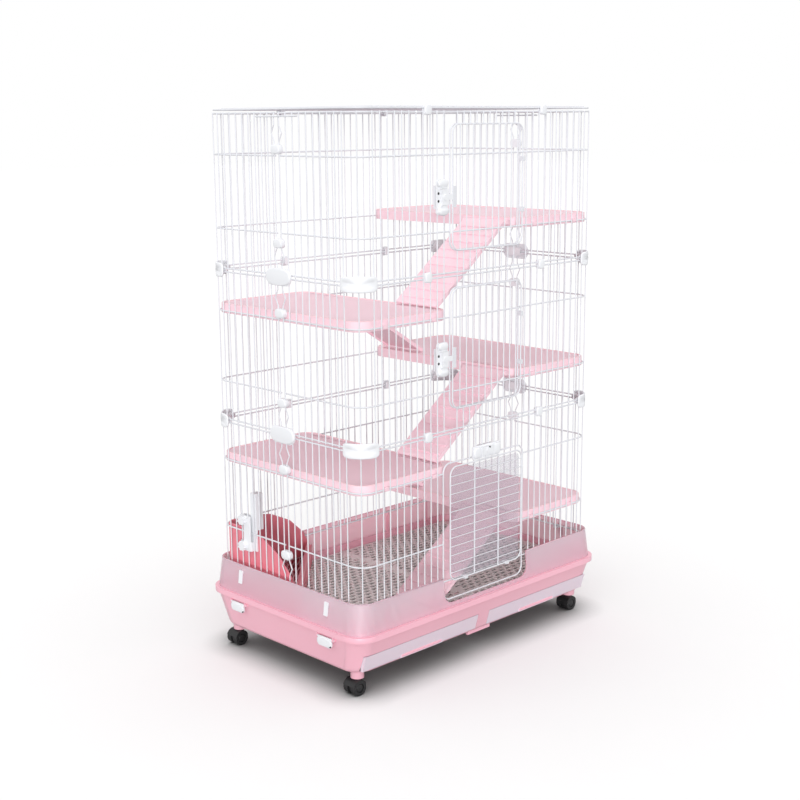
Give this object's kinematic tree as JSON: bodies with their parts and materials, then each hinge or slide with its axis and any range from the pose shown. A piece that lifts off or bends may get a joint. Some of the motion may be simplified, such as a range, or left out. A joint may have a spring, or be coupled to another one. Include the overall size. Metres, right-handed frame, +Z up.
{
  "type": "rabbit cage",
  "caption": "Tall wire rabbit cage on a castered tray with drawers, side shelves, zigzag ramps, front doors and a corner litter pan.",
  "frame": {"origin": "on the floor under the middle of the cage", "axes": "+X along the front to the right as seen from the front, +Y to the back, +Z up"},
  "size_m": [0.815, 0.523, 1.233],
  "materials": {
    "white_wire": "gloss powder coat",
    "white_plastic": "satin",
    "pink_plastic": "satin",
    "shelf_plastic": "satin",
    "milky_plastic": "milky translucent",
    "drawer_plastic": "satin",
    "lattice_plastic": "satin",
    "clear_sheet": "frosted clear",
    "pan_plastic": "gloss",
    "grate_plastic": "satin",
    "caster_plastic": "satin",
    "wheel_plastic": "matt"
  },
  "bodies": {
    "cage": {"front_panel_lower": "white_wire", "front_panel_middle": "white_wire", "front_panel_upper": "white_wire", "back_panel_lower": "white_wire", "back_panel_middle": "white_wire", "back_panel_upper": "white_wire", "side_panels_lower": "white_wire", "side_panels_middle": "white_wire", "side_panels_upper": "white_wire", "corner_posts": "white_wire", "lower_post_right_back": "white_wire", "lower_post_right_front": "white_wire", "top_lid": "white_wire", "fold_lock_wires": "white_wire", "corner_clips": "white_plastic", "panel_clips": "white_plastic", "fold_bushes": "white_plastic", "guard_tabs": "white_plastic", "door_lock_lower": "white_plastic", "door_lock_middle": "white_plastic", "door_lock_upper": "white_plastic", "pan_clamp": "white_plastic", "base_tray": "pink_plastic", "shelf_first": "shelf_plastic", "shelf_second": "shelf_plastic", "shelf_third": "shelf_plastic", "shelf_fourth": "shelf_plastic", "shelf_fifth": "shelf_plastic", "guard_ring": "milky_plastic", "floor_grid": "lattice_plastic"},
    "door_lower": {"door_lower": "white_wire", "door_lower_sheet": "clear_sheet"},
    "door_middle": {"door_middle": "white_wire"},
    "door_upper": {"door_upper": "white_wire"},
    "lock_slide_lower": {"lock_slide_lower": "white_plastic"},
    "lock_slide_middle": {"lock_slide_middle": "white_plastic"},
    "lock_slide_upper": {"lock_slide_upper": "white_plastic"},
    "drawer_left": {"drawer_left": "drawer_plastic"},
    "drawer_right": {"drawer_right": "drawer_plastic"},
    "litter_pan": {"litter_pan": "pan_plastic", "pan_grate": "grate_plastic"},
    "pan_knob_lower": {"pan_knob_lower": "white_plastic"},
    "pan_knob_upper": {"pan_knob_upper": "white_plastic"},
    "ramp_first": {"ramp_first": "shelf_plastic"},
    "ramp_second": {"ramp_second": "shelf_plastic"},
    "ramp_third": {"ramp_third": "shelf_plastic"},
    "ramp_fourth": {"ramp_fourth": "shelf_plastic"},
    "ramp_fifth": {"ramp_fifth": "shelf_plastic"},
    "base_latch_left_front": {"base_latch_left_front": "white_plastic"},
    "caster_left_front": {"caster_housing_left_front": "caster_plastic"},
    "wheels_left_front": {"caster_wheels_left_front": "wheel_plastic"},
    "base_latch_left_back": {"base_latch_left_back": "white_plastic"},
    "caster_left_back": {"caster_housing_left_back": "caster_plastic"},
    "wheels_left_back": {"caster_wheels_left_back": "wheel_plastic"},
    "base_latch_right_front": {"base_latch_right_front": "white_plastic"},
    "caster_right_front": {"caster_housing_right_front": "caster_plastic"},
    "wheels_right_front": {"caster_wheels_right_front": "wheel_plastic"},
    "base_latch_right_back": {"base_latch_right_back": "white_plastic"},
    "caster_right_back": {"caster_housing_right_back": "caster_plastic"},
    "wheels_right_back": {"caster_wheels_right_back": "wheel_plastic"}
  },
  "joints": [
    {"name": "door_lower_hinge", "type": "hinge", "parent": "cage", "child": "door_lower", "pos_m": [0, -0.2485, 0.2], "axis": [1, 0, 0], "range_deg": [0, 110]},
    {"name": "door_middle_hinge", "type": "hinge", "parent": "cage", "child": "door_middle", "pos_m": [0.112, -0.2485, 0.72], "axis": [0, 0, 1], "range_deg": [0, 150]},
    {"name": "lock_middle_slide", "type": "slide", "parent": "cage", "child": "lock_slide_middle", "axis": [-1, 0, 0], "range_m": [0, 0.008], "stiffness_N_per_m": 150, "springref_m": -0.004},
    {"name": "door_upper_hinge", "type": "hinge", "parent": "cage", "child": "door_upper", "pos_m": [0.112, -0.2485, 1.062], "axis": [0, 0, 1], "range_deg": [0, 150]},
    {"name": "lock_upper_slide", "type": "slide", "parent": "cage", "child": "lock_slide_upper", "axis": [-1, 0, 0], "range_m": [0, 0.008], "stiffness_N_per_m": 150, "springref_m": -0.004},
    {"name": "lock_lower_slide", "type": "slide", "parent": "cage", "child": "lock_slide_lower", "axis": [0, 0, 1], "range_m": [0, 0.008], "stiffness_N_per_m": 150, "springref_m": -0.004},
    {"name": "drawer_left_slide", "type": "slide", "parent": "cage", "child": "drawer_left", "axis": [0, -1, 0], "range_m": [0, 0.38]},
    {"name": "drawer_right_slide", "type": "slide", "parent": "cage", "child": "drawer_right", "axis": [0, -1, 0], "range_m": [0, 0.38]},
    {"name": "ramp_first_hinge", "type": "hinge", "parent": "cage", "child": "ramp_first", "pos_m": [0.1, -0.1495, 0.293], "axis": [0, 1, 0], "range_deg": [0, 35]},
    {"name": "ramp_second_hinge", "type": "hinge", "parent": "cage", "child": "ramp_second", "pos_m": [-0.1, 0.1495, 0.453], "axis": [0, -1, 0], "range_deg": [0, 35]},
    {"name": "ramp_third_hinge", "type": "hinge", "parent": "cage", "child": "ramp_third", "pos_m": [0.1, -0.1495, 0.635], "axis": [0, 1, 0], "range_deg": [0, 35]},
    {"name": "ramp_fourth_hinge", "type": "hinge", "parent": "cage", "child": "ramp_fourth", "pos_m": [-0.1, 0.1495, 0.795], "axis": [0, -1, 0], "range_deg": [0, 35]},
    {"name": "ramp_fifth_hinge", "type": "hinge", "parent": "cage", "child": "ramp_fifth", "pos_m": [0.1, -0.1495, 0.977], "axis": [0, 1, 0], "range_deg": [0, 35]},
    {"name": "base_latch_left_front_hinge", "type": "hinge", "parent": "cage", "child": "base_latch_left_front", "pos_m": [-0.4035, -0.15, 0.122], "axis": [0, 1, 0], "range_deg": [0, 60]},
    {"name": "caster_left_front_swivel", "type": "hinge", "parent": "cage", "child": "caster_left_front", "pos_m": [-0.36, -0.203, 0.04], "axis": [0, 0, 1], "continuous": true},
    {"name": "wheels_left_front_spin", "type": "hinge", "parent": "caster_left_front", "child": "wheels_left_front", "pos_m": [-0.368, -0.203, 0.017], "axis": [0, 1, 0], "continuous": true},
    {"name": "base_latch_left_back_hinge", "type": "hinge", "parent": "cage", "child": "base_latch_left_back", "pos_m": [-0.4035, 0.15, 0.122], "axis": [0, 1, 0], "range_deg": [0, 60]},
    {"name": "caster_left_back_swivel", "type": "hinge", "parent": "cage", "child": "caster_left_back", "pos_m": [-0.36, 0.203, 0.04], "axis": [0, 0, 1], "continuous": true},
    {"name": "wheels_left_back_spin", "type": "hinge", "parent": "caster_left_back", "child": "wheels_left_back", "pos_m": [-0.368, 0.203, 0.017], "axis": [0, 1, 0], "continuous": true},
    {"name": "base_latch_right_front_hinge", "type": "hinge", "parent": "cage", "child": "base_latch_right_front", "pos_m": [0.4035, -0.15, 0.122], "axis": [0, -1, 0], "range_deg": [0, 60]},
    {"name": "caster_right_front_swivel", "type": "hinge", "parent": "cage", "child": "caster_right_front", "pos_m": [0.36, -0.203, 0.04], "axis": [0, 0, 1], "continuous": true},
    {"name": "wheels_right_front_spin", "type": "hinge", "parent": "caster_right_front", "child": "wheels_right_front", "pos_m": [0.352, -0.203, 0.017], "axis": [0, 1, 0], "continuous": true},
    {"name": "base_latch_right_back_hinge", "type": "hinge", "parent": "cage", "child": "base_latch_right_back", "pos_m": [0.4035, 0.15, 0.122], "axis": [0, -1, 0], "range_deg": [0, 60]},
    {"name": "caster_right_back_swivel", "type": "hinge", "parent": "cage", "child": "caster_right_back", "pos_m": [0.36, 0.203, 0.04], "axis": [0, 0, 1], "continuous": true},
    {"name": "wheels_right_back_spin", "type": "hinge", "parent": "caster_right_back", "child": "wheels_right_back", "pos_m": [0.352, 0.203, 0.017], "axis": [0, 1, 0], "continuous": true},
    {"name": "pan_knob_lower_turn", "type": "hinge", "parent": "cage", "child": "pan_knob_lower", "pos_m": [-0.388, 0.14667, 0.2565], "axis": [1, 0, 0], "continuous": true},
    {"name": "pan_knob_upper_turn", "type": "hinge", "parent": "cage", "child": "pan_knob_upper", "pos_m": [-0.388, 0.14667, 0.3175], "axis": [1, 0, 0], "continuous": true},
    {"name": "litter_pan_slide", "type": "slide", "parent": "cage", "child": "litter_pan", "axis": [0.7071, -0.7071, 0], "range_m": [0, 0.15]}
  ]
}
